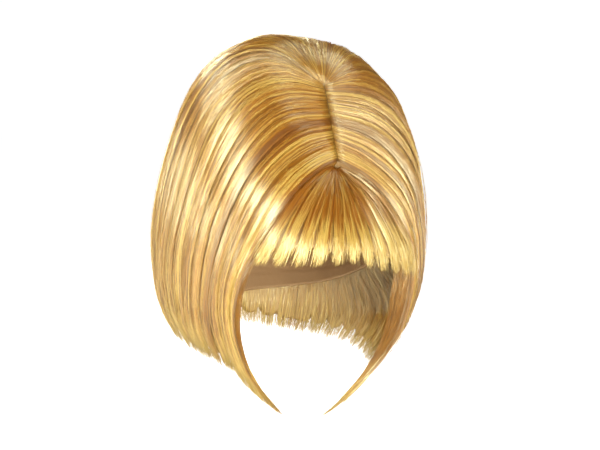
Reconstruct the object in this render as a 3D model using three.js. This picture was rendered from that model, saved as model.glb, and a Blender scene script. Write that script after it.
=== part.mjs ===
// Sixties bouffant wig: a knitted net cap with the hair sewn to it in panels of locks.
// Millimetres, +Z up. The wig faces -Y and the wearer's left is +X.
// The origin is the inner crown of the cap, where it sits on the top of the head.
import * as THREE from 'three';

// Head that the cap is made for, and the cap itself.
const headWidth = 152;
const headLength = 192;
const headRise = 100;
const capWall = 2;

// Depth of the hair over the head at the side, front, back and crown.
const sideDepth = 40;
const frontDepth = 31;
const backDepth = 32;
const crownDepth = 99;

// The hair is widest at one level, centreDown below the crown of the head and centreBack behind it.
// It reaches about hairDrop below that level, and its peak is set back by crownSet.
const centreDown = 75;
const centreBack = 5;
const hairDrop = 128;
const crownSet = 22;

// Thickness of the hanging hair and of its tips.
const hairWall = 16;
const tipWall = 2.5;

// Depth of the grooves between locks, in the panels and in the fringe, the step from one layer of hair
// down to the next, and how far the fringe's root is tucked in under the parting's end.
const grooveDepth = 3;
const fringeGroove = 1.5;
const layerStep = 2;
const fringeTuck = 4.5;

// Clearances: hair to cap, panel to panel, and the bare dot that the whorl turns round.
const capClearance = 0.8;
const panelGap = 0.4;
const whorlRadius = 3;

// Outline of the hair as shares of the depths above, by the angle from straight up in degrees.
const outline = [
  { polar: 0, side: 1.008, front: 1.008, back: 1.008 },
  { polar: 20, side: 1.046, front: 0.88, back: 1.04 },
  { polar: 40, side: 1.072, front: 0.77, back: 1.07 },
  { polar: 55, side: 1.062, front: 0.77, back: 1.06 },
  { polar: 72, side: 1.022, front: 0.88, back: 1.025 },
  { polar: 90, side: 1.0, front: 0.985, back: 1.0 },
  { polar: 105, side: 1.008, front: 1.02, back: 0.98 },
  { polar: 120, side: 1.035, front: 1.06, back: 0.96 },
  { polar: 135, side: 1.045, front: 1.14, back: 0.95 },
  { polar: 150, side: 1.08, front: 1.25, back: 0.96 },
];

// Edge of the cap: its angle from straight up, by the angle from the front in degrees. The net of the
// crown is sewn to the band round the head at this share of the way down to that edge.
const capSeamShare = 0.6;
const capRim = [
  { azimuth: 0, polar: 70 },
  { azimuth: 45, polar: 77 },
  { azimuth: 80, polar: 99 },
  { azimuth: 115, polar: 114 },
  { azimuth: 180, polar: 126 },
];

// The parting runs down the front, between these angles from straight up in degrees.
const partingFrontAngle = 52;
const partingBackAngle = 22;

// How the strands are combed, one row for each guide strand from the face round to the middle of the back.
// root: share of the way up the parting; bare: how far from the parting it starts, a share of whorlRadius;
// heading: direction it leaves in, 0 to the front and 180 to the back; reach: how long it holds that;
// azimuth and polar: where it ends at the hem; sweep: how far it leans forward there;
// hang: how long it falls straight before the hem.
const guides = [
  { root: 0.0, bare: 0.15, heading: 74, reach: 0.5, azimuth: 27, polar: 147, sweep: 50, hang: 1.0 },
  { root: 0.5, bare: 0.15, heading: 80, reach: 0.82, azimuth: 54, polar: 138, sweep: 16, hang: 0.85 },
  { root: 0.95, bare: 0.3, heading: 92, reach: 0.95, azimuth: 75, polar: 136, sweep: 6, hang: 0.85 },
  { root: 1.0, bare: 0.9, heading: 115, reach: 1.05, azimuth: 96, polar: 134, sweep: 2, hang: 0.85 },
  { root: 1.0, bare: 1.0, heading: 138, reach: 1.1, azimuth: 124, polar: 135, sweep: 0, hang: 0.85 },
  { root: 1.0, bare: 1.0, heading: 160, reach: 1.15, azimuth: 152, polar: 137, sweep: 0, hang: 0.85 },
  { root: 1.0, bare: 1.0, heading: 180, reach: 1.15, azimuth: 180, polar: 137, sweep: 0, hang: 0.85 },
];

// Guide rows where one panel ends and the next one starts.
const frontBorder = 1.1;
const sideBorder = 2.9;
const rearBorder = 4.6;

// Panels of the wearer's left side, which the right side mirrors, and the one across the middle of the
// back. from and to are guide rows, and layer counts the steps that a panel lies below the outline.
const sidePanels = [
  { name: 'front_lock', from: 0, to: frontBorder, locks: 4, layer: 1, color: 0xe2b04e },
  { name: 'side_hair', from: frontBorder, to: sideBorder, locks: 6, layer: 0, color: 0xd9a544 },
  { name: 'rear_hair', from: sideBorder, to: rearBorder, locks: 5, layer: 0.3, color: 0xcf9a3c },
];
const lastRow = guides.length - 1;
const backPanel = { name: 'back_hair', from: rearBorder, to: lastRow, locks: 7, layer: 0, color: 0xd4a040 };
const fringe = { name: 'fringe', locks: 11, browPolar: 87, color: 0xe8bd62 };

// Facets: columns for each lock, rows from root to tip, and the rows that the fringe is long.
const lockColumns = 3;
const strandRows = 18;
const fringeRows = 9;
const capColumns = 36;
const netRings = 5;
const bandRings = 3;

// A lock's tip reaches beyond the grooves beside it by this share of the strand.
const tipNotch = 0.025;
const fringeNotch = 0.05;

// Shares of a strand's length: where grooves and layers start and reach their full depth,
// and where the wall starts to thin towards the tips, where this share of the grooves is gone.
const grooveStart = 0.05;
const grooveFull = 0.4;
const thinFrom = 0.6;
const grooveLoss = 0.6;

// Below the edge of the cap the filled hair gives way to the hanging wall over this angle in degrees.
const rimFadeAngle = 16;

// The notches between tips fade out over this share of a panel's width at each side.
const notchFade = 0.25;

const centre = new THREE.Vector3(0, centreBack, -centreDown);
const headCentre = new THREE.Vector3(0, 0, -headRise);
const up = new THREE.Vector3(0, 0, 1);
const radians = THREE.MathUtils.degToRad;

// A smooth curve through one column of a table. The slope at each row is the mean of the slopes on
// both sides, each weighted by the other's span, and the first slope is firstSlope where it is given.
function tableCurve(table, key, column, firstSlope) {
  const xs = table.map((row) => row[key]);
  const ys = table.map((row) => row[column]);
  const last = xs.length - 1;
  const chord = (i) => (ys[i + 1] - ys[i]) / (xs[i + 1] - xs[i]);
  const slopes = xs.map((x, i) => {
    if (i === 0) return firstSlope ?? chord(0);
    if (i === last) return chord(last - 1);
    const before = x - xs[i - 1];
    const after = xs[i + 1] - x;
    return (before * chord(i) + after * chord(i - 1)) / (before + after);
  });
  return (x) => {
    let i = 0;
    while (i < last - 1 && x >= xs[i + 1]) i += 1;
    const span = xs[i + 1] - xs[i];
    const t = (x - xs[i]) / span;
    const rise = t * t * (3 - 2 * t);
    const leave = t * (1 - t) * (1 - t) * span;
    const arrive = t * t * (t - 1) * span;
    return ys[i] * (1 - rise) + ys[i + 1] * rise + slopes[i] * leave + slopes[i + 1] * arrive;
  };
}

const sideShare = tableCurve(outline, 'polar', 'side', 0);
const frontShare = tableCurve(outline, 'polar', 'front', 0);
const backShare = tableCurve(outline, 'polar', 'back', 0);
const rimPolar = tableCurve(capRim, 'azimuth', 'polar', 0);
const guideRows = guides.map((row, index) => ({ ...row, index }));
const guide = Object.fromEntries(
  Object.keys(guides[0]).map((column) => [column, tableCurve(guideRows, 'index', column)]),
);

// Unit vector at an angle from the front and an angle from straight up, both in degrees.
function direction(azimuth, polar) {
  const a = radians(azimuth);
  const p = radians(polar);
  return new THREE.Vector3(Math.sin(p) * Math.sin(a), -Math.sin(p) * Math.cos(a), Math.cos(p));
}

function polarOf(vector) {
  return THREE.MathUtils.radToDeg(vector.angleTo(up));
}

function azimuthOf(vector) {
  return THREE.MathUtils.radToDeg(Math.abs(Math.atan2(vector.x, -vector.y)));
}

function smooth(from, to, x) {
  return THREE.MathUtils.smoothstep(x, from, to);
}

// Point of the combed outline in a direction: half an egg above the widest level and half below it.
function outlinePoint(way) {
  const polar = polarOf(way);
  const flat = Math.hypot(way.x, way.y) || 1;
  const sideways = (way.x / flat) ** 2;
  const lengthwise = way.y < 0 ? frontShare(polar) : backShare(polar);
  const share = sideShare(polar) * sideways + lengthwise * (1 - sideways);
  const x = way.x * share * (headWidth / 2 + sideDepth);
  const y = way.y * share * (headLength / 2 + (way.y < 0 ? frontDepth : backDepth));
  const z = way.z * share * (way.z > 0 ? centreDown + crownDepth : hairDrop);
  const lean = crownSet * Math.max(way.z * share, 0) ** 2;
  return new THREE.Vector3(x, y + lean, z).add(centre);
}

// Distance from the centre of the hair to the head, grown by some thickness, along a unit vector.
function headRadius(ray, thickness) {
  const size = new THREE.Vector3(headWidth / 2, headLength / 2, headRise).addScalar(thickness);
  const start = centre.clone().sub(headCentre).divide(size);
  const step = ray.clone().divide(size);
  const a = step.dot(step);
  const b = start.dot(step);
  const c = start.dot(start) - 1;
  return (-b + Math.sqrt(b * b - a * c)) / a;
}

// Direction of a strand's point. It is a cubic curve on the unit sphere: it leaves the parting or the
// whorl in its heading and arrives at the hem hanging down.
function strandDirection(row, v) {
  const rootPolar = THREE.MathUtils.lerp(partingFrontAngle, partingBackAngle, guide.root(row));
  const root = direction(0, rootPolar);
  const heading = radians(guide.heading(row));
  const leave = direction(0, rootPolar + 90).multiplyScalar(Math.cos(heading));
  leave.x += Math.sin(heading);
  root.addScaledVector(leave, (guide.bare(row) * whorlRadius) / (centreDown + crownDepth));

  const azimuth = guide.azimuth(row);
  const polar = guide.polar(row);
  const tip = direction(azimuth, polar);
  const sweep = radians(guide.sweep(row));
  const arrive = direction(azimuth, polar - 90).multiplyScalar(Math.cos(sweep));
  arrive.x += Math.sin(sweep) * Math.cos(radians(azimuth));
  arrive.y += Math.sin(sweep) * Math.sin(radians(azimuth));

  const afterRoot = root.clone().addScaledVector(leave, guide.reach(row));
  const beforeTip = tip.clone().addScaledVector(arrive, guide.hang(row));
  const w = 1 - v;
  return new THREE.Vector3()
    .addScaledVector(root, w * w * w)
    .addScaledVector(afterRoot, 3 * w * w * v)
    .addScaledVector(beforeTip, 3 * w * v * v)
    .addScaledVector(tip, v * v * v)
    .normalize();
}

// Rounded crests of the locks across a panel, 0 in each groove and 1 on each crest.
function lockCrest(across, locks) {
  return Math.sqrt(Math.abs(Math.sin(Math.PI * across * locks)));
}

// Outer and inner point of the hair in a direction: over the cap the teased hair fills down to it, and
// below the rim the hair hangs as a wall that thins towards its tips.
function hairPair(way, v, sink) {
  const outer = outlinePoint(way);
  const ray = outer.clone().sub(centre);
  const outerRadius = ray.length() - sink;
  ray.normalize();
  const overCap = outerRadius - headRadius(ray, capWall + capClearance);
  const hanging = THREE.MathUtils.lerp(hairWall, tipWall, smooth(thinFrom, 1, v));
  const past = polarOf(ray) - rimPolar(azimuthOf(ray));
  const depth = Math.max(THREE.MathUtils.lerp(overCap, hanging, smooth(0, rimFadeAngle, past)), tipWall);
  return {
    ray,
    outer: centre.clone().addScaledVector(ray, outerRadius),
    inner: centre.clone().addScaledVector(ray, outerRadius - depth),
  };
}

// Moves an edge column of a panel off the shared guide strand, square to the wall between panels. Where
// the columns draw together at the whorl it moves by no more than insetShare of the way to the next one.
const insetShare = 0.4;

function insetEdge(edge, neighbour) {
  edge.forEach((pair, j) => {
    const before = edge[Math.max(j - 1, 0)].ray;
    const after = edge[Math.min(j + 1, edge.length - 1)].ray;
    const square = after.clone().sub(before).cross(pair.ray).normalize();
    const inwards = neighbour[j].outer.clone().sub(pair.outer);
    if (square.dot(inwards) < 0) square.negate();
    const shift = Math.min(panelGap / 2, insetShare * Math.abs(square.dot(inwards)));
    pair.outer.addScaledVector(square, shift);
    pair.inner.addScaledVector(square, shift);
  });
}

// Closed solid from columns of outer and inner points.
function solidFromColumns(columns) {
  insetEdge(columns[0], columns[1]);
  insetEdge(columns[columns.length - 1], columns[columns.length - 2]);
  const rows = columns[0].length;
  const positions = [];
  for (const key of ['outer', 'inner']) {
    for (const column of columns) {
      for (const pair of column) positions.push(...pair[key].toArray());
    }
  }
  const indices = [];
  const last = columns.length - 1;
  const outer = (i, j) => i * rows + j;
  const inner = (i, j) => (last + 1) * rows + i * rows + j;
  const quad = (a, b, c, d) => indices.push(a, b, c, a, c, d);
  for (let i = 0; i < last; i += 1) {
    for (let j = 0; j < rows - 1; j += 1) {
      quad(outer(i, j), outer(i, j + 1), outer(i + 1, j + 1), outer(i + 1, j));
      quad(inner(i, j), inner(i + 1, j), inner(i + 1, j + 1), inner(i, j + 1));
    }
    quad(outer(i, 0), outer(i + 1, 0), inner(i + 1, 0), inner(i, 0));
    quad(outer(i, rows - 1), inner(i, rows - 1), inner(i + 1, rows - 1), outer(i + 1, rows - 1));
  }
  for (let j = 0; j < rows - 1; j += 1) {
    quad(outer(0, j), inner(0, j), inner(0, j + 1), outer(0, j + 1));
    quad(outer(last, j), outer(last, j + 1), inner(last, j + 1), inner(last, j));
  }
  const geometry = new THREE.BufferGeometry();
  geometry.setAttribute('position', new THREE.Float32BufferAttribute(positions, 3));
  geometry.setIndex(indices);
  return geometry;
}

function mirrored(way, side) {
  return new THREE.Vector3(way.x * side, way.y, way.z);
}

// Columns of a panel. place(across) gives the guide row and the side, for 0 to 1 across the panel.
function panelColumns(panel, place) {
  const count = panel.locks * lockColumns;
  return Array.from({ length: count + 1 }, (_, i) => {
    const across = i / count;
    const { row, side } = place(across);
    const crest = lockCrest(across, panel.locks);
    const edgeFade = Math.min(1, across / notchFade, (1 - across) / notchFade);
    const length = 1 - tipNotch * (1 - crest) * edgeFade;
    return Array.from({ length: strandRows + 1 }, (__, j) => {
      const v = (j / strandRows) * length;
      const full = smooth(grooveStart, grooveFull, v);
      const grooves = grooveDepth * (1 - crest) * (1 - grooveLoss * smooth(thinFrom, 1, v));
      return hairPair(mirrored(strandDirection(row, v), side), v, full * (panel.layer * layerStep + grooves));
    });
  });
}

function sidePanel(panel, side) {
  return solidFromColumns(
    panelColumns(panel, (across) => {
      const along = side > 0 ? across : 1 - across;
      return { row: THREE.MathUtils.lerp(panel.from, panel.to, along), side };
    }),
  );
}

function backSolid() {
  return solidFromColumns(
    panelColumns(backPanel, (across) => {
      const turn = 2 * across - 1;
      const row = THREE.MathUtils.lerp(backPanel.to, backPanel.from, Math.abs(turn));
      return { row, side: turn > 0 ? -1 : 1 };
    }),
  );
}

// The fringe fills the wedge between the front edges of the two front locks. Its strands fan out
// between the middle of the brow and those edges, and its root is tucked in behind the parting's end.
function fringeHair() {
  const count = fringe.locks * lockColumns;
  const columns = Array.from({ length: count + 1 }, (_, i) => {
    const turn = (2 * i) / count - 1;
    const crest = lockCrest(i / count, fringe.locks);
    const edgeFade = Math.min(1, (1 - Math.abs(turn)) / notchFade);
    const length = 1 - fringeNotch * (1 - crest) * edgeFade;
    return Array.from({ length: fringeRows }, (__, j) => {
      const share = ((j + 1) / fringeRows) * length;
      const v = (share * fringeRows) / strandRows;
      const edge = mirrored(strandDirection(0, v), turn < 0 ? -1 : 1);
      const middle = direction(0, THREE.MathUtils.lerp(partingFrontAngle, fringe.browPolar, share));
      const way = middle.lerp(edge, Math.abs(turn)).normalize();
      const tuck = fringeTuck * (1 - smooth(thinFrom, 1, share));
      const grooves = fringeGroove * (1 - crest) * smooth(grooveStart, grooveFull, share);
      return hairPair(way, THREE.MathUtils.lerp(thinFrom, 1, share), tuck + grooves);
    });
  });
  return solidFromColumns(columns);
}

// A shell of the cap between two shares of the way from the crown of the head to the cap's edge. Where it
// starts at the crown its first ring is one point, and else it has an upper rim as well as a lower one.
function capShell(from, to, rings) {
  const closed = from === 0;
  const halfGap = THREE.MathUtils.radToDeg(panelGap / headWidth);
  const ringStart = (ring) => (closed && ring > 0 ? 1 + (ring - 1) * capColumns : ring * capColumns);
  const at = (ring, i) => ringStart(ring) + (closed && ring === 0 ? 0 : i % capColumns);
  const layer = ringStart(rings + 1);

  const positions = [];
  for (const thickness of [capWall, 0]) {
    for (let ring = 0; ring <= rings; ring += 1) {
      const share = THREE.MathUtils.lerp(from, to, ring / rings);
      const offset = THREE.MathUtils.lerp(closed ? 0 : halfGap, to < 1 ? -halfGap : 0, ring / rings);
      for (let i = 0; i < (closed && ring === 0 ? 1 : capColumns); i += 1) {
        const azimuth = (360 * i) / capColumns - 180;
        const ray = direction(azimuth, rimPolar(Math.abs(azimuth)) * share + offset);
        positions.push(...centre.clone().addScaledVector(ray, headRadius(ray, thickness)).toArray());
      }
    }
  }

  const indices = [];
  const quad = (a, b, c, d) => indices.push(a, b, c, a, c, d);
  for (let i = 0; i < capColumns; i += 1) {
    for (let ring = 0; ring < rings; ring += 1) {
      const [a, b, c, d] = [at(ring, i), at(ring + 1, i), at(ring + 1, i + 1), at(ring, i + 1)];
      indices.push(a, b, c, layer + a, layer + c, layer + b);
      if (a !== d) indices.push(a, c, d, layer + a, layer + d, layer + c);
    }
    quad(at(rings, i), layer + at(rings, i), layer + at(rings, i + 1), at(rings, i + 1));
    if (!closed) quad(at(0, i), at(0, i + 1), layer + at(0, i + 1), layer + at(0, i));
  }
  const geometry = new THREE.BufferGeometry();
  geometry.setAttribute('position', new THREE.Float32BufferAttribute(positions, 3));
  geometry.setIndex(indices);
  return geometry;
}

function piece(name, geometry, color, roughness) {
  geometry.computeVertexNormals();
  const mesh = new THREE.Mesh(geometry, new THREE.MeshStandardMaterial({ color, roughness, metalness: 0 }));
  mesh.name = name;
  return mesh;
}

const hairRoughness = 0.38;
const netRoughness = 0.85;
const netColor = 0xb98a4a;
const bandColor = 0xa87a40;

const wig = new THREE.Group();
wig.add(piece('cap_net', capShell(0, capSeamShare, netRings), netColor, netRoughness));
wig.add(piece('cap_band', capShell(capSeamShare, 1, bandRings), bandColor, netRoughness));
wig.add(piece(fringe.name, fringeHair(), fringe.color, hairRoughness));
for (const panel of sidePanels) {
  wig.add(piece(`left_${panel.name}`, sidePanel(panel, 1), panel.color, hairRoughness));
  wig.add(piece(`right_${panel.name}`, sidePanel(panel, -1), panel.color, hairRoughness));
}
wig.add(piece(backPanel.name, backSolid(), backPanel.color, hairRoughness));

export default wig;
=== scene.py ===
"""A bouffant wig in glossy fibre on its net cap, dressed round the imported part."""

import bpy
import numpy as np
from mathutils import Matrix, Vector


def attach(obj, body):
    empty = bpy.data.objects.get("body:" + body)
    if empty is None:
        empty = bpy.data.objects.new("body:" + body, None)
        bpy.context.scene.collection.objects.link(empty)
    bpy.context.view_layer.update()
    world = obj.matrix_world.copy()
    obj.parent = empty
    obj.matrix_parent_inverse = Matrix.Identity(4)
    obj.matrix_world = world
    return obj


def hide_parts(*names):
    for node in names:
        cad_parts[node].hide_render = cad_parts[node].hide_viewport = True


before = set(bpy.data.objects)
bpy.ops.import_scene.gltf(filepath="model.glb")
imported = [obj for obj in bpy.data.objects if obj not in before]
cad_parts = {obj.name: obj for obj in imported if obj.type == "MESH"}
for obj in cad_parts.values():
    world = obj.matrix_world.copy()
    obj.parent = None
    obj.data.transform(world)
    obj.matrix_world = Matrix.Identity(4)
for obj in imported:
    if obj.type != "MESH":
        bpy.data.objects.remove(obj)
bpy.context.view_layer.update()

# Studio: a white paper floor that curves up into a wall all round, bright behind the wig. Six soft boxes stand
# round it, most of them low. The cap is held up at its mount, so the floor lies below the hem.
FLOOR_LEVEL = -0.36
FLOOR_RADIUS = 3.4
WALL_CURVE = 1.4
WALL_HEIGHT = 2.6
STAGE_COLUMNS = 96
PAPER_GLOW = 0.83
ROOM_LIGHT = 0.07
BOX_DISTANCE = 1.5
WIG_MIDDLE = Vector((0, 0.005, -0.055))


def make_piece(name, points, faces, lanes, tone=None):
    """A mesh object from points, arrays of faces (all triangles or all quads in each) and, for each corner of
    those faces, its place on the piece's own map. tone is one value for each point, read by the material."""
    sizes = np.concatenate([np.full(len(part), part.shape[1]) for part in faces])
    corners = np.concatenate([part.ravel() for part in faces])
    mesh = bpy.data.meshes.new(name)
    mesh.vertices.add(len(points))
    mesh.vertices.foreach_set("co", np.ascontiguousarray(points, np.float32).ravel())
    mesh.loops.add(len(corners))
    mesh.loops.foreach_set("vertex_index", corners.astype(np.int32))
    mesh.polygons.add(len(sizes))
    mesh.polygons.foreach_set("loop_start", (np.cumsum(sizes) - sizes).astype(np.int32))
    mesh.polygons.foreach_set("use_smooth", np.ones(len(sizes), bool))
    places = np.concatenate([part.reshape(-1, 2) for part in lanes])
    layer = mesh.uv_layers.new(name="OFBake")
    layer.data.foreach_set("uv", np.ascontiguousarray(places, np.float32).ravel())
    if tone is not None:
        shade = mesh.attributes.new("tone", "FLOAT", "POINT")
        shade.data.foreach_set("value", np.ascontiguousarray(tone, np.float32).ravel())
    mesh.update(calc_edges=True)
    mesh.validate()
    made = bpy.data.objects.new(name, mesh)
    bpy.context.scene.collection.objects.link(made)
    return made


def plain_material(name, color, roughness):
    """A material and its Principled shader, with one colour and one roughness."""
    material = bpy.data.materials.new(name)
    material.use_nodes = True
    shader = material.node_tree.nodes["Principled BSDF"]
    shader.inputs["Base Color"].default_value = (*color, 1)
    shader.inputs["Roughness"].default_value = roughness
    return material, shader


def number_node(tree, operation, *terms):
    """A Math node over numbers or sockets of a node tree. It returns the node's result."""
    node = tree.nodes.new("ShaderNodeMath")
    node.operation = operation
    for socket, term in zip(node.inputs, terms):
        if isinstance(term, bpy.types.NodeSocket):
            tree.links.new(term, socket)
        else:
            socket.default_value = term
    return node.outputs[0]


def studio_sweep():
    """Floor and wall in one turned surface: the radius grows to the curve, a quarter circle lifts it, and the
    wall goes straight up. Its faces look inwards."""
    turn = np.linspace(0, np.pi / 2, 12)
    floor = np.array([[0.02, 0], [FLOOR_RADIUS * 0.3, 0], [FLOOR_RADIUS, 0]])
    curve = np.column_stack([FLOOR_RADIUS + WALL_CURVE * np.sin(turn), WALL_CURVE * (1 - np.cos(turn))])
    wall = np.array([[FLOOR_RADIUS + WALL_CURVE, WALL_CURVE + WALL_HEIGHT]])
    profile = np.concatenate([floor, curve[1:], wall])
    azimuth = np.linspace(0, 2 * np.pi, STAGE_COLUMNS, endpoint=False)
    radius, around = np.meshgrid(profile[:, 0], azimuth)
    height = np.broadcast_to(profile[:, 1] + FLOOR_LEVEL, radius.shape)
    points = np.stack([radius * np.cos(around), radius * np.sin(around), height], axis=-1)
    index = np.arange(radius.size).reshape(radius.shape)
    beside = np.roll(index, -1, axis=0)
    quads = np.stack([index[:, :-1], index[:, 1:], beside[:, 1:], beside[:, :-1]], axis=-1).reshape(-1, 4)
    hub = index[:, 0][None, :]
    lanes = [np.zeros((*quads.shape, 2)), np.zeros((*hub.shape, 2))]
    return make_piece("studio_floor", points.reshape(-1, 3), [quads, hub], lanes)


floor = studio_sweep()
paper, paper_shader = plain_material("pale_paper", (0.9, 0.9, 0.9), 0.9)
paper_shader.inputs["Specular IOR Level"].default_value = 0.1
paper_shader.inputs["Emission Color"].default_value = (1, 1, 1, 1)
seen = paper.node_tree.nodes.new("ShaderNodeLightPath").outputs["Is Camera Ray"]
glow = number_node(paper.node_tree, "MULTIPLY", seen, PAPER_GLOW)
paper.node_tree.links.new(glow, paper_shader.inputs["Emission Strength"])
floor.data.materials.append(paper)

world = bpy.data.worlds.new("soft_room")
bpy.context.scene.world = world
world.use_nodes = True
world.node_tree.nodes["Background"].inputs["Color"].default_value = (1, 1, 1, 1)
world.node_tree.nodes["Background"].inputs["Strength"].default_value = ROOM_LIGHT
bpy.context.scene.view_settings.view_transform = "Standard"


def soft_box(name, azimuth, elevation, width, power):
    """A square light round the wig, aimed at its middle. Azimuth 0 is in front and 90 at the wig's left."""
    side, lift = np.radians(azimuth), np.radians(elevation)
    back = Vector((np.sin(side) * np.cos(lift), -np.cos(side) * np.cos(lift), np.sin(lift)))
    data = bpy.data.lights.new(name, "AREA")
    data.shape = "RECTANGLE"
    data.size = data.size_y = width
    data.energy = power
    light = bpy.data.objects.new(name, data)
    light.matrix_world = Matrix.Translation(WIG_MIDDLE + back * BOX_DISTANCE) @ (
        (-back).to_track_quat("-Z", "Y").to_matrix().to_4x4()
    )
    light.visible_camera = False
    bpy.context.scene.collection.objects.link(light)


soft_box("key_box", azimuth=-22, elevation=21, width=0.45, power=16)
soft_box("front_box", azimuth=5, elevation=0, width=0.5, power=14)
soft_box("side_box", azimuth=-92, elevation=2, width=0.5, power=15.5)
soft_box("back_box", azimuth=-160, elevation=30, width=0.5, power=26)
soft_box("rim_box", azimuth=112, elevation=0, width=0.5, power=13)
soft_box("high_box", azimuth=130, elevation=68, width=0.5, power=5)

# Camera at the photograph's angle: in front, to the wig's right of its middle, looking a little down on it and
# tilted. A long lens stands for the flat view of the photograph.
CAMERA_AZIMUTH = np.radians(-27)
CAMERA_ELEVATION = np.radians(7)
CAMERA_ROLL = np.radians(8)
CAMERA_DISTANCE = 1.8
AIM_RIGHT = 0.0078
AIM_UP = -0.0052

camera_data = bpy.data.cameras.new("camera")
camera_data.lens = 124.2
camera_data.sensor_width = 36
camera = bpy.data.objects.new("camera", camera_data)
bpy.context.scene.collection.objects.link(camera)
camera_back = Vector(
    (
        np.sin(CAMERA_AZIMUTH) * np.cos(CAMERA_ELEVATION),
        -np.cos(CAMERA_AZIMUTH) * np.cos(CAMERA_ELEVATION),
        np.sin(CAMERA_ELEVATION),
    )
)
level = Vector((np.cos(CAMERA_AZIMUTH), np.sin(CAMERA_AZIMUTH), 0))
raised = camera_back.cross(level)
picture_right = level * np.cos(CAMERA_ROLL) + raised * np.sin(CAMERA_ROLL)
picture_up = -level * np.sin(CAMERA_ROLL) + raised * np.cos(CAMERA_ROLL)
place = WIG_MIDDLE + picture_right * AIM_RIGHT + picture_up * AIM_UP + camera_back * CAMERA_DISTANCE
turned = Matrix((picture_right, picture_up, camera_back)).transposed().to_4x4()
camera.matrix_world = Matrix.Translation(place) @ turned
bpy.context.scene.camera = camera

# Cap: a knitted net over the crown, sewn to an elastic band round the head. Inside, rows of machine stitching
# stand up where the strips of hair are sewn on from outside. The band has its lower edge folded and whipped.
HEAD_WIDTH = 0.152
HEAD_LENGTH = 0.192
HEAD_RISE = 0.100
CAP_WALL = 0.002
CENTRE = np.array([0, 0.005, -0.075])
CAP_SEAM = 0.6
WEFT_SPACING = 0.009
WEFT_RISE = 0.0009
EDGE_RISE = 0.0011
CAP_COLUMNS = 96


def smooth(start, end, x):
    """0 before start, 1 after end, and an even S between them."""
    share = np.clip((x - start) / (end - start), 0, 1)
    return share * share * (3 - 2 * share)


def table_curve(xs, ys, first_slope=None):
    """A smooth curve through a table: between two rows it is the cubic that keeps the slope at both. The slope
    at a row is the mean of the chords beside it, each weighted by the other's span."""
    xs, ys = np.array(xs, float), np.array(ys, float)
    span = np.diff(xs)
    chord = np.diff(ys) / span
    slopes = np.empty_like(ys)
    slopes[1:-1] = (span[:-1] * chord[1:] + span[1:] * chord[:-1]) / (span[:-1] + span[1:])
    slopes[0] = chord[0] if first_slope is None else first_slope
    slopes[-1] = chord[-1]

    def curve(x):
        i = np.clip(np.searchsorted(xs, x, side="right") - 1, 0, len(span) - 1)
        t = (x - xs[i]) / span[i]
        rise = t * t * (3 - 2 * t)
        leave = t * (1 - t) ** 2 * span[i]
        arrive = t * t * (t - 1) * span[i]
        return ys[i] * (1 - rise) + ys[i + 1] * rise + slopes[i] * leave + slopes[i + 1] * arrive

    return curve


def direction(azimuth, polar):
    """Unit vectors at an angle from the front and an angle from straight up, in degrees."""
    azimuth, polar = np.broadcast_arrays(np.radians(azimuth), np.radians(polar))
    flat = np.sin(polar)
    return np.stack([flat * np.sin(azimuth), -flat * np.cos(azimuth), np.cos(polar)], axis=-1)


def head_radius(ray, thickness):
    """Distance from the centre of the hair along rays to the head's ellipsoid, grown by a thickness."""
    size = np.array([HEAD_WIDTH / 2, HEAD_LENGTH / 2, HEAD_RISE]) + np.asarray(thickness)[..., None]
    start = (CENTRE + [0, 0, HEAD_RISE]) / size
    step = ray / size
    a = (step * step).sum(-1)
    b = (start * step).sum(-1)
    c = (start * start).sum(-1) - 1
    return (-b + np.sqrt(b * b - a * c)) / a


rim_polar = table_curve([0, 45, 80, 115, 180], [70, 77, 99, 114, 126], first_slope=0)


def two_layers(name, outer, inner, ring=False, topped=False):
    """A closed wall from two grids of points, outside and inside, that share their rows and columns. On a ring
    the last column meets the first, and on a topped one each layer is closed over its first row. Each layer
    has its own half of the map."""
    columns, rows = outer.shape[:2]
    below = columns * rows
    index = np.arange(below).reshape(columns, rows)
    here = index if ring else index[:-1]
    beside = np.roll(index, -1, axis=0) if ring else index[1:]
    a, b, c, d = here[:, :-1], here[:, 1:], beside[:, 1:], beside[:, :-1]
    top = np.stack([a, b, c, d], axis=-1).reshape(-1, 4)
    under = np.stack([a, d, c, b], axis=-1).reshape(-1, 4) + below
    a, b = here[:, -1], beside[:, -1]
    faces = [top, under, np.stack([a, a + below, b + below, b], axis=-1)]
    a, b = here[:, 0], beside[:, 0]
    if topped:
        faces.append(np.stack([a, a[::-1] + below]))
    else:
        faces.append(np.stack([a, b, b + below, a + below], axis=-1))
    if not ring:
        a, b = index[0, :-1], index[0, 1:]
        faces.append(np.stack([a, a + below, b + below, b], axis=-1))
        a, b = index[-1, :-1], index[-1, 1:]
        faces.append(np.stack([a, b, b + below, a + below], axis=-1))
    u = np.repeat(np.arange(columns) / (columns if ring else columns - 1) * 0.49, rows)
    v = np.tile(np.linspace(0, 1, rows), columns)
    spots = np.concatenate([np.column_stack([u, v]), np.column_stack([u + 0.5, v])])
    lanes = [spots[part] for part in faces]
    if ring:
        for part, place in zip(faces, lanes):
            column = part % below // rows
            last = (np.ptp(column, axis=1) > columns / 2)[:, None] & (column == 0) & (part.shape[1] == 4)
            place[..., 0] += 0.49 * last
    points = np.concatenate([outer.reshape(-1, 3), inner.reshape(-1, 3)])
    return make_piece(name, points, faces, lanes)


def cap_layers(start, end, rows, columns, ridges):
    """Outside and inside of the cap between two shares of the way from the crown to its edge. ridges gives,
    for the way down in metres, how far the stitching stands up inside."""
    share = np.linspace(start, end, rows)
    azimuth = np.linspace(-180, 180, columns, endpoint=False)
    polar = rim_polar(np.abs(azimuth))[:, None] * share
    ray = direction(azimuth[:, None], polar)
    down = np.radians(polar) * HEAD_RISE
    outer = CENTRE + ray * head_radius(ray, CAP_WALL - 0.0001)[..., None]
    inner = CENTRE + ray * (head_radius(ray, 0.0) - ridges(share, down))[..., None]
    return outer, inner


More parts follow.
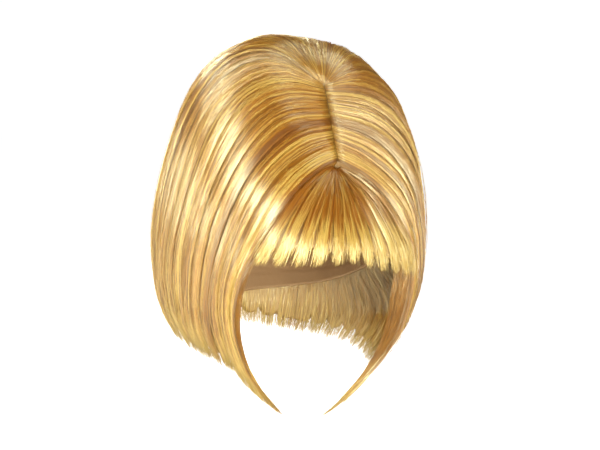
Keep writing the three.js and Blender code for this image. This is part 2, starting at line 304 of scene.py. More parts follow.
def net_ridges(share, down):
    """A low ridge on every row of stitching, and a flat ribbon along the seam to the band."""
    row = np.abs(np.sin(np.pi * down / WEFT_SPACING)) ** 6
    return WEFT_RISE * row + WEFT_RISE * smooth(CAP_SEAM - 0.05, CAP_SEAM - 0.03, share)


def band_ridges(share, down):
    """The rows of stitching close together, and the thick folded edge."""
    row = np.abs(np.sin(1.6 * np.pi * down / WEFT_SPACING)) ** 2
    fold = smooth(0.93, 0.95, share)
    return WEFT_RISE * row * (1 - fold) + EDGE_RISE * fold


def mixed_color(tree, factor, first, second):
    """A Mix node between two colours of a node tree. It returns the mixed colour."""
    mix = tree.nodes.new("ShaderNodeMix")
    mix.data_type = "RGBA"
    for label, source in (("Factor", factor), ("A", first), ("B", second)):
        tree.links.new(source, mix.inputs[label])
    return mix.outputs["Result"]


def knit_group():
    """Knit: two sets of diagonal threads crossing over the map, with holes between them coloured darker,
    painted shade. It puts out the colour and the height."""
    group = bpy.data.node_groups.new("knit", "ShaderNodeTree")
    for label, kind in (("Thread", "Color"), ("Hole", "Color"), ("Meshes", "Float")):
        group.interface.new_socket(label, in_out="INPUT", socket_type="NodeSocket" + kind)
    group.interface.new_socket("Color", in_out="OUTPUT", socket_type="NodeSocketColor")
    group.interface.new_socket("Height", in_out="OUTPUT", socket_type="NodeSocketFloat")
    nodes, links = group.nodes, group.links
    given = nodes.new("NodeGroupInput")
    put = nodes.new("NodeGroupOutput")
    place = nodes.new("ShaderNodeUVMap")
    place.uv_map = "OFBake"
    scaled = nodes.new("ShaderNodeVectorMath")
    scaled.operation = "SCALE"
    links.new(place.outputs["UV"], scaled.inputs[0])
    links.new(given.outputs["Meshes"], scaled.inputs["Scale"])
    threads = []
    for turn in (0.6, -0.6):
        turned = nodes.new("ShaderNodeMapping")
        turned.inputs["Rotation"].default_value = (0, 0, turn)
        turned.inputs["Scale"].default_value = (2.2, 1, 1)
        wave = nodes.new("ShaderNodeTexWave")
        wave.inputs["Scale"].default_value = 1
        wave.inputs["Distortion"].default_value = 0.4
        links.new(scaled.outputs[0], turned.inputs["Vector"])
        links.new(turned.outputs[0], wave.inputs["Vector"])
        threads.append(wave.outputs["Fac"])
    sharp = nodes.new("ShaderNodeMapRange")
    sharp.inputs["From Min"].default_value = 0.35
    sharp.inputs["From Max"].default_value = 0.8
    links.new(number_node(group, "MAXIMUM", *threads), sharp.inputs["Value"])
    color = mixed_color(group, sharp.outputs[0], given.outputs["Hole"], given.outputs["Thread"])
    links.new(color, put.inputs["Color"])
    links.new(sharp.outputs[0], put.inputs["Height"])
    return group


knit = knit_group()


def knit_material(name, thread, hole, meshes, depth):
    """Knitted cloth: matt, its thread and holes coloured and raised by the knit; the holes' darker colour is
    painted shade.
    """
    material, shader = plain_material(name, thread, 0.85)
    nodes, links = material.node_tree.nodes, material.node_tree.links
    cloth = nodes.new("ShaderNodeGroup")
    cloth.node_tree = knit
    cloth.inputs["Thread"].default_value = (*thread, 1)
    cloth.inputs["Hole"].default_value = (*hole, 1)
    cloth.inputs["Meshes"].default_value = meshes
    raise_up = nodes.new("ShaderNodeBump")
    raise_up.inputs["Strength"].default_value = 0.6
    raise_up.inputs["Distance"].default_value = depth
    links.new(cloth.outputs["Color"], shader.inputs["Base Color"])
    links.new(cloth.outputs["Height"], raise_up.inputs["Height"])
    links.new(raise_up.outputs["Normal"], shader.inputs["Normal"])
    return material


# The second colour of each knit is the painted shade in its holes.
net_thread = knit_material("net_thread", (0.62, 0.40, 0.19), (0.20, 0.10, 0.04), meshes=60, depth=0.0008)
net_layers = cap_layers(0.004, CAP_SEAM - 0.002, 54, CAP_COLUMNS, net_ridges)
crown_net = two_layers("crown_net", *net_layers, ring=True, topped=True)
crown_net.data.materials.append(net_thread)
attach(crown_net, "root")
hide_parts("cap_net")

elastic_band = knit_material("elastic_band", (0.52, 0.32, 0.14), (0.20, 0.10, 0.035), meshes=90, depth=0.0006)
band_layers = cap_layers(CAP_SEAM + 0.002, 1, 46, CAP_COLUMNS, band_ridges)
head_band = two_layers("head_band", *band_layers, ring=True)
head_band.data.materials.append(elastic_band)
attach(head_band, "root")
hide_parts("cap_band")

# Back hair: glossy gold fibre that starts at the whorl, goes over the high crown and falls down the back. Below
# it is teased to a firm mat on the cap, and over the mat the long strands are combed smooth and hang free.
SIDE_DEPTH = 0.040
FRONT_DEPTH = 0.031
BACK_DEPTH = 0.032
CROWN_DEPTH = 0.099
HAIR_DROP = 0.128
CROWN_SET = 0.022
HAIR_WALL = 0.016
TIP_WALL = 0.0025
GROOVE_DEPTH = 0.003
LAYER_STEP = 0.002
SWELL = 0.0013
CAP_CLEARANCE = 0.0008
WHORL_RADIUS = 0.003
PARTING_FRONT = 52
PARTING_BACK = 22
RIM_FADE = 16
THIN_FROM = 0.6
TIP_NOTCH = 0.025
GROOVE_LOSS = 0.6

OUTLINE_POLAR = [0, 20, 40, 55, 72, 90, 105, 120, 135, 150]
side_share = table_curve(OUTLINE_POLAR, [1.008, 1.046, 1.072, 1.062, 1.022, 1, 1.008, 1.035, 1.045, 1.08], 0)
front_share = table_curve(OUTLINE_POLAR, [1.008, 0.88, 0.77, 0.77, 0.88, 0.985, 1.02, 1.06, 1.14, 1.25], 0)
back_share = table_curve(OUTLINE_POLAR, [1.008, 1.04, 1.07, 1.06, 1.025, 1, 0.98, 0.96, 0.95, 0.96], 0)

GUIDE_COLUMNS = ("root", "bare", "heading", "reach", "azimuth", "polar", "sweep", "hang")
GUIDES = np.array(
    [
        [0, 0.15, 74, 0.5, 27, 147, 50, 1.0],
        [0.5, 0.15, 80, 0.82, 54, 138, 16, 0.85],
        [0.95, 0.3, 92, 0.95, 75, 136, 6, 0.85],
        [1, 0.9, 115, 1.05, 96, 134, 2, 0.85],
        [1, 1, 138, 1.1, 124, 135, 0, 0.85],
        [1, 1, 160, 1.15, 152, 137, 0, 0.85],
        [1, 1, 180, 1.15, 180, 137, 0, 0.85],
    ]
)
guide = {name: table_curve(range(len(GUIDES)), GUIDES[:, i]) for i, name in enumerate(GUIDE_COLUMNS)}


def unit(vectors):
    """Vectors at length 1."""
    return vectors / np.linalg.norm(vectors, axis=-1, keepdims=True)


def outline_point(way, sink):
    """Points of the combed outline in a direction, sunk towards the centre: half an egg above the widest level
    and half below, whose depth is a share of the side's, front's or back's, by the angle from straight up."""
    polar = np.degrees(np.arccos(np.clip(way[..., 2], -1, 1)))
    flat = np.maximum(np.hypot(way[..., 0], way[..., 1]), 1e-9)
    sideways = (way[..., 0] / flat) ** 2
    lengthwise = np.where(way[..., 1] < 0, front_share(polar), back_share(polar))
    share = side_share(polar) * sideways + lengthwise * (1 - sideways)
    x = way[..., 0] * share * (HEAD_WIDTH / 2 + SIDE_DEPTH)
    y = way[..., 1] * share * (HEAD_LENGTH / 2 + np.where(way[..., 1] < 0, FRONT_DEPTH, BACK_DEPTH))
    z = way[..., 2] * share * np.where(way[..., 2] > 0, -CENTRE[2] + CROWN_DEPTH, HAIR_DROP)
    lean = CROWN_SET * np.maximum(way[..., 2] * share, 0) ** 2
    arm = np.stack([x, y + lean, z], axis=-1)
    return CENTRE + arm - unit(arm) * np.asarray(sink)[..., None]


def strand_direction(row, v):
    """Where a strand lies, seen from the centre. It is a cubic curve on the unit sphere that leaves the parting
    or the whorl in its heading and arrives at the hem hanging down."""
    row, v = np.broadcast_arrays(np.asarray(row, float), np.asarray(v, float))
    root_polar = PARTING_FRONT + (PARTING_BACK - PARTING_FRONT) * guide["root"](row)
    heading = np.radians(guide["heading"](row))[..., None]
    leave = direction(0, root_polar + 90) * np.cos(heading) + np.sin(heading) * [1, 0, 0]
    bare = guide["bare"](row) * WHORL_RADIUS / (CROWN_DEPTH - CENTRE[2])
    root = direction(0, root_polar) + leave * bare[..., None]
    azimuth, polar = guide["azimuth"](row), guide["polar"](row)
    tip = direction(azimuth, polar)
    sweep = np.radians(guide["sweep"](row))[..., None]
    across = np.stack([np.cos(np.radians(azimuth)), np.sin(np.radians(azimuth)), 0 * azimuth], axis=-1)
    arrive = direction(azimuth, polar - 90) * np.cos(sweep) + across * np.sin(sweep)
    after_root = root + leave * guide["reach"](row)[..., None]
    before_tip = tip + arrive * guide["hang"](row)[..., None]
    v = v[..., None]
    w = 1 - v
    return unit(root * w**3 + after_root * 3 * w * w * v + before_tip * 3 * w * v * v + tip * v**3)


def lock_crest(across, locks):
    """Rounded crests of the locks across a panel, 0 in each groove and 1 on each crest."""
    return np.sqrt(np.abs(np.sin(np.pi * across * locks)))


def hair_depth(way, v, radius):
    """Thickness of the hair under a point at some radius: down to the cap where there is cap, and below its
    edge a wall that thins towards the tips."""
    over_cap = radius - head_radius(way, CAP_WALL + CAP_CLEARANCE)
    hanging = HAIR_WALL + (TIP_WALL - HAIR_WALL) * smooth(THIN_FROM, 1, v)
    polar = np.degrees(np.arccos(np.clip(way[..., 2], -1, 1)))
    azimuth = np.degrees(np.abs(np.arctan2(way[..., 0], -way[..., 1])))
    fade = smooth(0, RIM_FADE, polar - rim_polar(azimuth))
    return np.maximum(over_cap + (hanging - over_cap) * fade, TIP_WALL)


class Panel:
    """One panel of hair between two borders. way(across, v) gives the direction of its strands from the centre,
    across from border to border and v from root to tip, layer how many steps it lies under the outline, and
    longer(across) what its strands have more than the guide's. Of the values below, notch draws the hem in
    between locks, root is the share of the guide where strands begin, ragged spreads their ends, and points
    draws them to a point in each lock. mixed spreads their tones, filled is the least share of a groove that
    they fill, and root_shade is how much painted shade darkens them at the start."""

    notch = TIP_NOTCH
    root = 0.0
    ragged = 0.016
    points = 0.0
    mixed = 0.2
    filled = 0.3
    root_shade = 0.0

    def __init__(self, node, locks, layer, way, longer=None):
        self.node = node
        self.locks = locks
        self.layer = layer
        self.way = way
        self.longer = longer

    def grooves(self, across, v):
        """Depth of the grooves between locks: none at the root, full from 0.4 on, and less towards the tips."""
        crest = lock_crest(across, self.locks)
        return GROOVE_DEPTH * (1 - crest) * smooth(0.05, 0.4, v) * (1 - GROOVE_LOSS * smooth(THIN_FROM, 1, v))

    def swell(self, across, v):
        """Soft uneven swellings of the combed surface, as long as a hand is wide, with no two locks alike."""
        lane = across * self.locks + 2 * self.layer + self.locks
        return np.sin(1.9 * lane + 11 * v) * np.sin(1.1 * lane - 7 * v) * smooth(0.06, 0.3, v)

    def sink(self, across, v):
        """How deep the combed surface lies under the outline: the panel's layer and its grooves, less its
        swellings."""
        below = smooth(0.05, 0.4, v) * self.layer * LAYER_STEP
        return below + self.grooves(across, v) - SWELL * self.swell(across, v)

    def reach(self, across):
        """How far down the guide strands the hair goes: all the way on a crest, a notch less in a groove."""
        edge_fade = np.clip(np.minimum(across, 1 - across) / 0.25, 0, 1)
        return 1 - self.notch * (1 - lock_crest(across, self.locks)) * edge_fade

    def wall_v(self, v):
        """The share of the guide that sets the wall's thickness at v."""
        return v

    def point(self, across, v, lift):
        """Points of the combed surface, lifted off it."""
        return outline_point(self.way(across, v), self.sink(across, v) - lift)

    def inside(self, across, v):
        """Distance of the combed surface from the centre, the rays to it, and the distance of the inside."""
        arm = outline_point(self.way(across, v), self.sink(across, v)) - CENTRE
        radius = np.linalg.norm(arm, axis=-1)
        ray = unit(arm)
        return radius, ray, radius - hair_depth(ray, self.wall_v(v), radius)


MAT_DEPTH = 0.0010
MAT_END = 0.965
MAT_GAP = 0.0003
MAT_EDGE = 0.003
MAT_LEAST = 0.0008
FURROW = 0.0004


def teased_mat(panel, columns_per_lock=7, rows=38):
    """The firm mat under a panel: its outside lies just under the combed strands, with fine uneven furrows
    along them, and its inside is the inside of the panel. It stops short of the tips."""
    across = np.linspace(MAT_EDGE, 1 - MAT_EDGE, panel.locks * columns_per_lock + 1)[:, None]
    end = panel.reach(across) * MAT_END
    v = panel.root + (end - panel.root) * np.linspace(0, 1, rows)[None, :]
    across = np.broadcast_to(across, v.shape)
    furrow = np.sin(across * panel.locks * 19 + 3 * v) * np.sin(across * panel.locks * 43 - 5 * v)
    radius, ray, inner = panel.inside(across, v)
    inner = inner + MAT_GAP
    outer = radius - MAT_DEPTH + FURROW * furrow * smooth(0, 0.2, v)
    outer = np.maximum(outer, inner + MAT_LEAST)
    return two_layers(panel.node + "_mat", CENTRE + ray * outer[..., None], CENTRE + ray * inner[..., None])


LANE_HALF = 0.0012


def strand_bodies(name, spine, normal, width, lane, along, tone):
    """Closed strands with a flat back and a raised crest: three corners round each point of the spine, at its
    left, on the crest and at its right, with a triangle at both ends. The edges along the left and the right
    are sharp, so that each strand shades as a crest of its own. lane and along are its places on the map."""
    ahead = unit(np.gradient(spine, axis=1))
    side = unit(np.cross(ahead, normal))
    rise = np.cross(side, ahead)
    half = width[..., None] / 2
    ring = np.stack([spine - side * half, spine + rise * half * 0.5, spine + side * half], axis=2)
    count, steps = spine.shape[:2]
    index = np.arange(count * steps * 3).reshape(count, steps, 3)
    beside = np.roll(index, -1, axis=2)
    quads = np.stack([index[:, :-1], beside[:, :-1], beside[:, 1:], index[:, 1:]], axis=-1).reshape(-1, 4)
    faces = [quads, index[:, 0, ::-1], index[:, -1]]
    u = np.broadcast_to(lane[:, None, None], index.shape) + np.array([-LANE_HALF, 0, LANE_HALF])
    v = np.broadcast_to(along[..., None], index.shape)
    spots = np.stack([u.ravel(), v.ravel()], axis=-1)
    tones = np.broadcast_to(tone[..., None], index.shape)
    made = make_piece(name, ring.reshape(-1, 3), faces, [spots[part] for part in faces], tones)
    ends = np.empty(len(made.data.edges) * 2, np.int32)
    made.data.edges.foreach_get("vertices", ends)
    a, b = ends.reshape(-1, 2).T
    creased = (np.abs(a - b) == 3) & (a % 3 != 1)
    made.data.attributes.new("sharp_edge", "BOOLEAN", "EDGE").data.foreach_set("value", creased)
    return made


def twisted(normal, ahead, angle):
    """Normals turned about the strand by an angle."""
    side = np.cross(ahead, normal)
    return normal * np.cos(angle)[..., None] + side * np.sin(angle)[..., None]


ASIDE = 0.004


def surface_normal(panel, across, v, ahead):
    """Normal of the combed surface at points along strands, square to the strand and to a small step aside."""
    aside = panel.point(across + ASIDE, v, 0) - panel.point(across - ASIDE, v, 0)
    normal = unit(np.cross(ahead, aside))
    outwards = panel.way(across, v)
    return normal * np.sign((normal * outwards).sum(-1, keepdims=True))


WISPS = 7
WISP_GATHER = (0.1, 0.15)
LOCK_GATHER = 0.08
STRONG_DRIFT = 0.3
SLIGHT_DRIFT = 0.04
WAVE = 0.008
TIP_SCATTER = 0.12
STRAY = 0.25
STRAND_LIFT = (-0.0005, 0.0006)
WISP_LIFT = (-0.0004, 0.0005)
WISP_RISE = 0.0005
RIPPLE = 0.00015
MOST_FILLED = 0.95
BORDER_FILLED = 0.2
LOOSE_SHARE = 0.012
LOOSE_LIFT = (0.001, 0.004)
FRESH_DEPTH = 0.0020
TIP_DIP = 0.0012
TWIST = 0.22
STRAND_WIDTH = (0.00028, 0.00052)
ROOT_WIDTH = 0.6
TIP_TAPER = 0.75
TONE = 0.53
# BORDER_SHADE darkens the strands along a panel's border: painted shade, as in the gap between panels.
BORDER_SHADE = 0.35
# Whole multiples of either number, less their whole part, lie evenly between 0 and 1.
SPREAD_STARTS = 0.618034
SPREAD_POWERS = 0.754878


def combed_strands(panel, count, steps, seed):
    """The long strands over a mat. Each keeps its lane from the root, drawn a little to the middle of its wisp
    and of its lock on the way down. New ones come up from the mat where the panel gets wider, so that they lie
    equally close all over, and they end at uneven lengths. They fill the grooves of the mat, each to its own
    share, and every wisp rises and falls a little on its way. Those along a border are darker, painted shade as
    in a gap, and the panel's root_shade paints shade over their starts. The steps lie closer towards the root,
    where a strand bends most, on each strand by its own power."""
    rng = np.random.default_rng(seed)
    home = (np.arange(count) + rng.random(count)) / count
    wisps = panel.locks * WISPS
    wisp = np.minimum((home * wisps).astype(int), wisps - 1)
    wisp_middle = (wisp + 0.5 + rng.uniform(-0.3, 0.3, wisps)[wisp]) / wisps

    sample = np.linspace(panel.root, 1, 40)
    edge_to_edge = panel.point(np.linspace(0, 1, 12)[:, None], sample[None, :], 0)
    width = np.linalg.norm(np.diff(edge_to_edge, axis=0), axis=-1).sum(0)
    share = np.maximum.accumulate(width) / width.max()
    start = np.interp((np.arange(count) * SPREAD_STARTS) % 1, share, sample)
    end = 0.5 + 0.5 * panel.reach(home) + rng.uniform(-1, 0.6, count) * panel.ragged
    end = end + panel.points * (0.4 - (1 - lock_crest(home, panel.locks)))
    if panel.longer is not None:
        end = end + panel.longer(home)
    closer = 1.1 + 0.5 * ((np.arange(count) * SPREAD_POWERS) % 1)
    t = np.linspace(0, 1, steps) ** closer[:, None]
    v = start[:, None] + (end - start)[:, None] * t

    gather = WISP_GATHER[0] * smooth(0.1, 0.5, v) + WISP_GATHER[1] * smooth(0.6, 1, v)
    across = home[:, None] + (wisp_middle - home)[:, None] * gather
    lock_middle = (np.floor(home * panel.locks) + 0.5) / panel.locks
    across = across + (lock_middle[:, None] - across) * (LOCK_GATHER + 4 * panel.points) * smooth(0.6, 1, v)
    strong = rng.random(count) < 0.1
    drift = np.where(strong, rng.normal(0, STRONG_DRIFT, count), rng.normal(0, SLIGHT_DRIFT, count))
    phase = rng.uniform(0, 2 * np.pi, (count, 1))
    wave = WAVE * np.sin(phase + 5 * v) * smooth(0.1, 0.3, v)
    scatter = rng.normal(0, TIP_SCATTER, (count, 1)) * smooth(0.8, 1, v)
    across = across + (drift[:, None] * smooth(0.1, 1, v) + wave + scatter) / panel.locks
    stray = STRAY / panel.locks * smooth(0.1, 0.4, v)
    across = np.clip(across, 0.001 - stray, 0.999 + stray)

    lift = rng.uniform(*STRAND_LIFT, (count, 1)) + rng.uniform(*WISP_LIFT, wisps)[wisp][:, None]
    wisp_phase = rng.uniform(0, 2 * np.pi, wisps)[wisp][:, None]
    lift = lift + WISP_RISE * (1 + np.sin(wisp_phase + rng.uniform(8, 14, wisps)[wisp][:, None] * v))
    lift = lift * smooth(0, 0.15, v - panel.root) + RIPPLE * np.sin(phase * 3 + 8 * v)
    fill = rng.uniform(panel.filled, MOST_FILLED, panel.locks + 1)
    fill[[0, -1]] = BORDER_FILLED
    groove = np.clip(np.round(across * panel.locks), 0, panel.locks).astype(int)
    lift = lift + fill[groove] * panel.grooves(across, v)
    loose = rng.random((count, 1)) < LOOSE_SHARE
    lift = lift + loose * rng.uniform(*LOOSE_LIFT, (count, 1)) * smooth(0.2, 0.6, v)
    fresh = (start > panel.root + 0.01)[:, None]
    lift = lift - FRESH_DEPTH * (1 - smooth(0, 0.1, t)) * fresh - TIP_DIP * smooth(0.85, 1, t)
    spine = panel.point(across, v, lift)
    ahead = unit(np.gradient(spine, axis=1))
    normal = surface_normal(panel, across, v, ahead)
    normal = twisted(normal, ahead, rng.normal(0, TWIST, (count, 1)) + 0.15 * np.sin(phase + 6 * v))
    taper = (ROOT_WIDTH + (1 - ROOT_WIDTH) * smooth(0, 0.05, t)) * (1 - TIP_TAPER * smooth(0.8, 1, t))
    width = rng.uniform(*STRAND_WIDTH, (count, 1)) * taper
    border = np.minimum(home, 1 - home) * panel.locks
    tone = TONE - BORDER_SHADE * np.exp(-((border / 0.3) ** 2)) + rng.normal(0, panel.mixed, count)
    tone = np.clip(tone + rng.normal(0, panel.mixed, wisps)[wisp], 0, 1)[:, None]
    tone = tone - panel.root_shade * (1 - smooth(0, 0.15, v - panel.root))
    return strand_bodies(panel.node + "_strands", spine, normal, width, home, v, tone)


HEM_SPREAD = 0.07
HEM_STARTS = (0.52, 0.7)
EDGE_STARTS = (0.4, 0.6)
HEM_WIDTH = 1.4
HEM_TONE = 0.4


def hem_strands(panel, count, steps, seed):
    """The shorter strands of the lower rows, seen from inside: they lie on the inside of the hanging wall and
    at all depths in it, and end at uneven lengths above the hem. Where the panel has a longer edge, a third of
    them lie side by side on that edge."""
    rng = np.random.default_rng(seed)
    home = (np.arange(count) + rng.random(count)) / count
    end = panel.reach(home) - HEM_SPREAD * rng.random(count) ** 2
    start = panel.root + (1 - panel.root) * rng.uniform(*HEM_STARTS, count)
    depth = np.maximum(rng.uniform(-1.4, 1, count), 0)
    on_edge = np.zeros(count, bool)
    if panel.longer is not None:
        on_edge = np.arange(count) % 3 == 0
        edge = 0.0 if panel.longer(0.0) > panel.longer(1.0) else 1.0
        home = np.where(on_edge, edge + (0.5 - edge) * rng.uniform(0, 0.006, count), home)
        depth = np.where(on_edge, rng.random(count), depth)
        start = np.where(on_edge, rng.uniform(*EDGE_STARTS, count), start)
    t = np.linspace(0, 1, steps)
    v = start[:, None] + (end - start)[:, None] * t
    wander = rng.normal(0, 0.12, (count, 1)) / panel.locks * v * ~on_edge[:, None]
    across = np.clip(home[:, None] + wander, 0, 1)
    radius, ray, inner = panel.inside(across, v)
    distance = inner - 0.0001 + np.maximum(radius - 0.0012 - inner, 0) * depth[:, None]
    spine = CENTRE + ray * (distance + 0.0003 * rng.random((count, 1)))[..., None]
    ahead = unit(np.gradient(spine, axis=1))
    outwards = panel.point(across - ASIDE, v, 0) - panel.point(across + ASIDE, v, 0)
    outwards = unit(outwards) * np.where(home < 0.5, 1, -1)[:, None, None]
    normal = np.where(on_edge[:, None, None], outwards, -ray)
    normal = unit(normal - ahead * (normal * ahead).sum(-1, keepdims=True))
    normal = twisted(normal, ahead, rng.normal(0, 0.2, (count, 1)) + 0 * v)
    width = rng.uniform(*STRAND_WIDTH, (count, 1)) * HEM_WIDTH * (1 - 0.6 * smooth(0.8, 1, t))
    tone = np.clip(HEM_TONE + rng.normal(0, 0.17, (count, 1)), 0, 1)
    return strand_bodies(panel.node + "_hem", spine, normal, width, home, v, tone)


def fibre_group():
    """Fibre: streaks along the strands, long and thin on the piece's map, that shift the colour from dark over
    middle to pale round the tone given, and ripple the height. Towards the tips it gets paler by the amount
    given: a painted highlight."""
    group = bpy.data.node_groups.new("fibre", "ShaderNodeTree")
    for label in ("Dark", "Middle", "Pale"):
        group.interface.new_socket(label, in_out="INPUT", socket_type="NodeSocketColor")
    for label in ("Tone", "Lanes", "Streak", "Tips", "Tips From"):
        group.interface.new_socket(label, in_out="INPUT", socket_type="NodeSocketFloat")
    group.interface.new_socket("Color", in_out="OUTPUT", socket_type="NodeSocketColor")
    group.interface.new_socket("Height", in_out="OUTPUT", socket_type="NodeSocketFloat")
    nodes, links = group.nodes, group.links
    given = nodes.new("NodeGroupInput")
    put = nodes.new("NodeGroupOutput")
    spot = nodes.new("ShaderNodeUVMap")
    spot.uv_map = "OFBake"
    apart = nodes.new("ShaderNodeSeparateXYZ")
    links.new(spot.outputs["UV"], apart.inputs[0])
    streaks = []
    for share, length in ((1.0, 3.0), (0.22, 2.0)):
        lanes = number_node(group, "MULTIPLY", given.outputs["Lanes"], share)
        joined = nodes.new("ShaderNodeCombineXYZ")
        links.new(number_node(group, "MULTIPLY", apart.outputs["X"], lanes), joined.inputs["X"])
        links.new(number_node(group, "MULTIPLY", apart.outputs["Y"], length), joined.inputs["Y"])
        noise = nodes.new("ShaderNodeTexNoise")
        noise.inputs["Scale"].default_value = 1
        noise.inputs["Detail"].default_value = 3
        links.new(joined.outputs[0], noise.inputs["Vector"])
        streaks.append(noise.outputs["Fac"])
    centred = number_node(group, "SUBTRACT", number_node(group, "ADD", *streaks), 1)
    shifted = number_node(group, "MULTIPLY_ADD", centred, given.outputs["Streak"], given.outputs["Tone"])
    tips = nodes.new("ShaderNodeMapRange")
    tips.interpolation_type = "SMOOTHSTEP"
    links.new(apart.outputs["Y"], tips.inputs["Value"])
    links.new(given.outputs["Tips From"], tips.inputs["From Min"])
    links.new(given.outputs["Tips"], tips.inputs["To Max"])
    toned = number_node(group, "ADD", shifted, tips.outputs["Result"])
    color = given.outputs["Dark"]
    for label, start, end in (("Middle", 0.15, 0.5), ("Pale", 0.5, 0.95)):
        step = nodes.new("ShaderNodeMapRange")
        step.interpolation_type = "SMOOTHSTEP"
        step.inputs["From Min"].default_value = start
        step.inputs["From Max"].default_value = end
        links.new(toned, step.inputs["Value"])
        color = mixed_color(group, step.outputs[0], color, given.outputs[label])
    links.new(color, put.inputs["Color"])
    links.new(streaks[0], put.inputs["Height"])
    return group


fibre = fibre_group()


def fibre_material(name, dark, middle, pale, roughness, lanes, streak, tone=None, bump=0.0, tips=(0.6, 0.84)):
    """Glossy fibre. Its tone is one number, or where none is given the one that each strand carries. tips says
    how much a painted highlight pales it and from what share of its length."""
    material, shader = plain_material(name, middle, roughness)
    shader.inputs["IOR"].default_value = 2.1
    shader.inputs["Specular IOR Level"].default_value = 1.0
    shader.inputs["Specular Tint"].default_value = (1, 0.98, 0.60, 1)
    shader.inputs["Anisotropic"].default_value = 0.9
    nodes, links = material.node_tree.nodes, material.node_tree.links
    across = nodes.new("ShaderNodeTangent")
    across.direction_type = "UV_MAP"
    across.uv_map = "OFBake"
    links.new(across.outputs[0], shader.inputs["Tangent"])
    streaks = nodes.new("ShaderNodeGroup")
    streaks.node_tree = fibre
    streaks.inputs["Dark"].default_value = (*dark, 1)
    streaks.inputs["Middle"].default_value = (*middle, 1)
    streaks.inputs["Pale"].default_value = (*pale, 1)
    streaks.inputs["Lanes"].default_value = lanes
    streaks.inputs["Streak"].default_value = streak
    streaks.inputs["Tips"].default_value = tips[0]
    streaks.inputs["Tips From"].default_value = tips[1]
    if tone is None:
        own = nodes.new("ShaderNodeAttribute")
        own.attribute_name = "tone"
        links.new(own.outputs["Fac"], streaks.inputs["Tone"])
    else:
        streaks.inputs["Tone"].default_value = tone
    links.new(streaks.outputs["Color"], shader.inputs["Base Color"])
    if bump:
        ripple = nodes.new("ShaderNodeBump")
        ripple.inputs["Strength"].default_value = 1
        ripple.inputs["Distance"].default_value = bump
        links.new(streaks.outputs["Height"], ripple.inputs["Height"])
        links.new(ripple.outputs["Normal"], shader.inputs["Normal"])
    return material


PALE_GOLD = (0.68, 0.440, 0.085)
combed_fibre = fibre_material(
    "combed_fibre", (0.22, 0.060, 0.002), (0.43, 0.160, 0.005), PALE_GOLD, roughness=0.38, lanes=60, streak=0.5
)
# The mat's colours are darker than the combed fibre's: painted shade, since it shows only in the gaps between
# strands.
teased_fibre = fibre_material(
    "teased_fibre",
    (0.16, 0.048, 0.004),
    (0.32, 0.125, 0.014),
    (0.46, 0.22, 0.035),
    roughness=0.45,
    lanes=900,
    streak=0.9,
    tone=0.45,
    bump=0.0005,
)

STRAND_STEPS = 14
HEM_STEPS = 8


def hang(panel, count, seed, steps=STRAND_STEPS, fibre_of_strands=combed_fibre):
    """Puts a panel's mat, strands and inner strands on the cap in the place of its node."""
    mat = teased_mat(panel)
    strands = combed_strands(panel, count, steps, seed)
    hem_count = count // 4 if panel.longer is None else count // 2
    hem = hem_strands(panel, hem_count, HEM_STEPS, seed + 100)
    for made, finish in ((mat, teased_fibre), (strands, fibre_of_strands), (hem, combed_fibre)):
        made.data.materials.append(finish)
        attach(made, "root")
        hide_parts(panel.node)


REAR_BORDER = 4.6
LAST_ROW = len(GUIDES) - 1


def back_way(across, v):
    """Strand directions from the left border over the middle of the back to the right border."""
    turn = 2 * across - 1
    way = strand_direction(LAST_ROW + (REAR_BORDER - LAST_ROW) * np.abs(turn), v)
    return way * np.stack([np.where(turn > 0, -1, 1), np.ones_like(turn), np.ones_like(turn)], axis=-1)


hang(Panel("back_hair", 7, 0, back_way), 1400, seed=1)

# Rear and side hair: it leaves the whorl and the back end of the parting and falls behind and down the sides.
# Each panel is made as the back's is, of the same fibre, and its hem is turned under.
SIDE_BORDER = 2.9
FRONT_BORDER = 1.1


def side_way(start, end, side):
    """Strand directions of a panel between two guide rows on one side, its columns running from front to back
    at the wig's left and from back to front at its right."""

    def way(across, v):
        along = across if side > 0 else 1 - across
        return strand_direction(start + (end - start) * along, v) * [side, 1, 1]

    return way


for side, label in ((1, "left"), (-1, "right")):
    rear = Panel(f"{label}_rear_hair", 5, 0.3, side_way(SIDE_BORDER, REAR_BORDER, side))
    hang(rear, 1000, seed=12 + side)
    flank = Panel(f"{label}_side_hair", 6, 0, side_way(FRONT_BORDER, SIDE_BORDER, side))
    hang(flank, 1300, seed=22 + side)
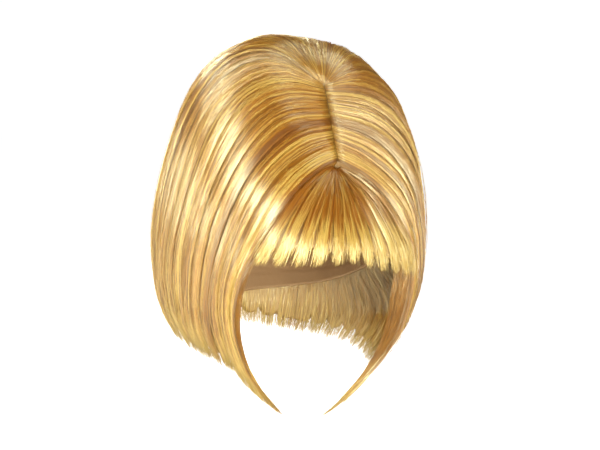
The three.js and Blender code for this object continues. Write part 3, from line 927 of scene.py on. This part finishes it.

# Fringe: straight strands from under the front end of the parting that fan out in front and end in small ragged
# points. It is of the same fibre, but painted shade darkens its colours, most of all at the top, and a painted
# highlight pales its tips. It is sewn on before the front locks, which lie over its sides.
FRINGE_TUCK = 0.0045
FRINGE_GROOVE = 0.0015
FRINGE_POLAR = 87
FRINGE_SHARE = 0.5


class Fringe(Panel):
    """The fringe between the front edges of the two front locks. v is the share of its own length."""

    notch = 0.05
    root = 0.06
    ragged = 0.03
    points = 0.1
    mixed = 0.1
    filled = 0.7
    # Painted shade over the top of the fringe, under the front locks.
    root_shade = 0.5

    def grooves(self, across, v):
        """Shallow grooves, as deep at the tips as half way."""
        return FRINGE_GROOVE * (1 - lock_crest(across, self.locks)) * smooth(0.05, 0.4, v)

    def sink(self, across, v):
        """The fringe is tucked under the front locks' level and comes up to it at the tips."""
        return FRINGE_TUCK * (1 - smooth(THIN_FROM, 1, v)) + self.grooves(across, v)

    def wall_v(self, v):
        """All of the fringe is as thin as the last part of the other panels."""
        return THIN_FROM + (1 - THIN_FROM) * v


def fringe_way(across, v):
    """Strand directions between the middle of the front and the edges of the front locks: the further a strand
    is turned out, the more it goes with the edge."""
    turn = 2 * across - 1
    edge = strand_direction(0, v * FRINGE_SHARE)
    edge = edge * np.stack([np.sign(turn), np.ones_like(turn), np.ones_like(turn)], axis=-1)
    middle = direction(0, PARTING_FRONT + (FRINGE_POLAR - PARTING_FRONT) * v)
    return unit(middle + (edge - middle) * np.abs(turn)[..., None])


# The fringe's colours are darker than the combed fibre's, painted shade, and from 0.62 of its length its tips
# are paler, a painted highlight.
fringe_fibre = fibre_material(
    "fringe_fibre",
    (0.22, 0.055, 0.001),
    (0.36, 0.115, 0.003),
    PALE_GOLD,
    roughness=0.38,
    lanes=60,
    streak=0.5,
    tips=(0.6, 0.62),
)
hang(Fringe("fringe", 11, 0, fringe_way), 1500, seed=31, steps=11, fibre_of_strands=fringe_fibre)

# Front locks: from the front half of the parting they sweep over the fringe and down both sides of the front
# opening, and end in its two points. They are sewn on last, of the same fibre.
POINT_LENGTH = 0.035


def longer_edge(side):
    """How much longer a front lock's strands are, by the lane: those along the opening curl into the point."""
    return lambda across: POINT_LENGTH * smooth(0, 1, 1 - across if side > 0 else across)


for side, label in ((1, "left"), (-1, "right")):
    lock = Panel(f"{label}_front_lock", 4, 1, side_way(0, FRONT_BORDER, side), longer_edge(side))
    hang(lock, 1200, seed=42 + side)
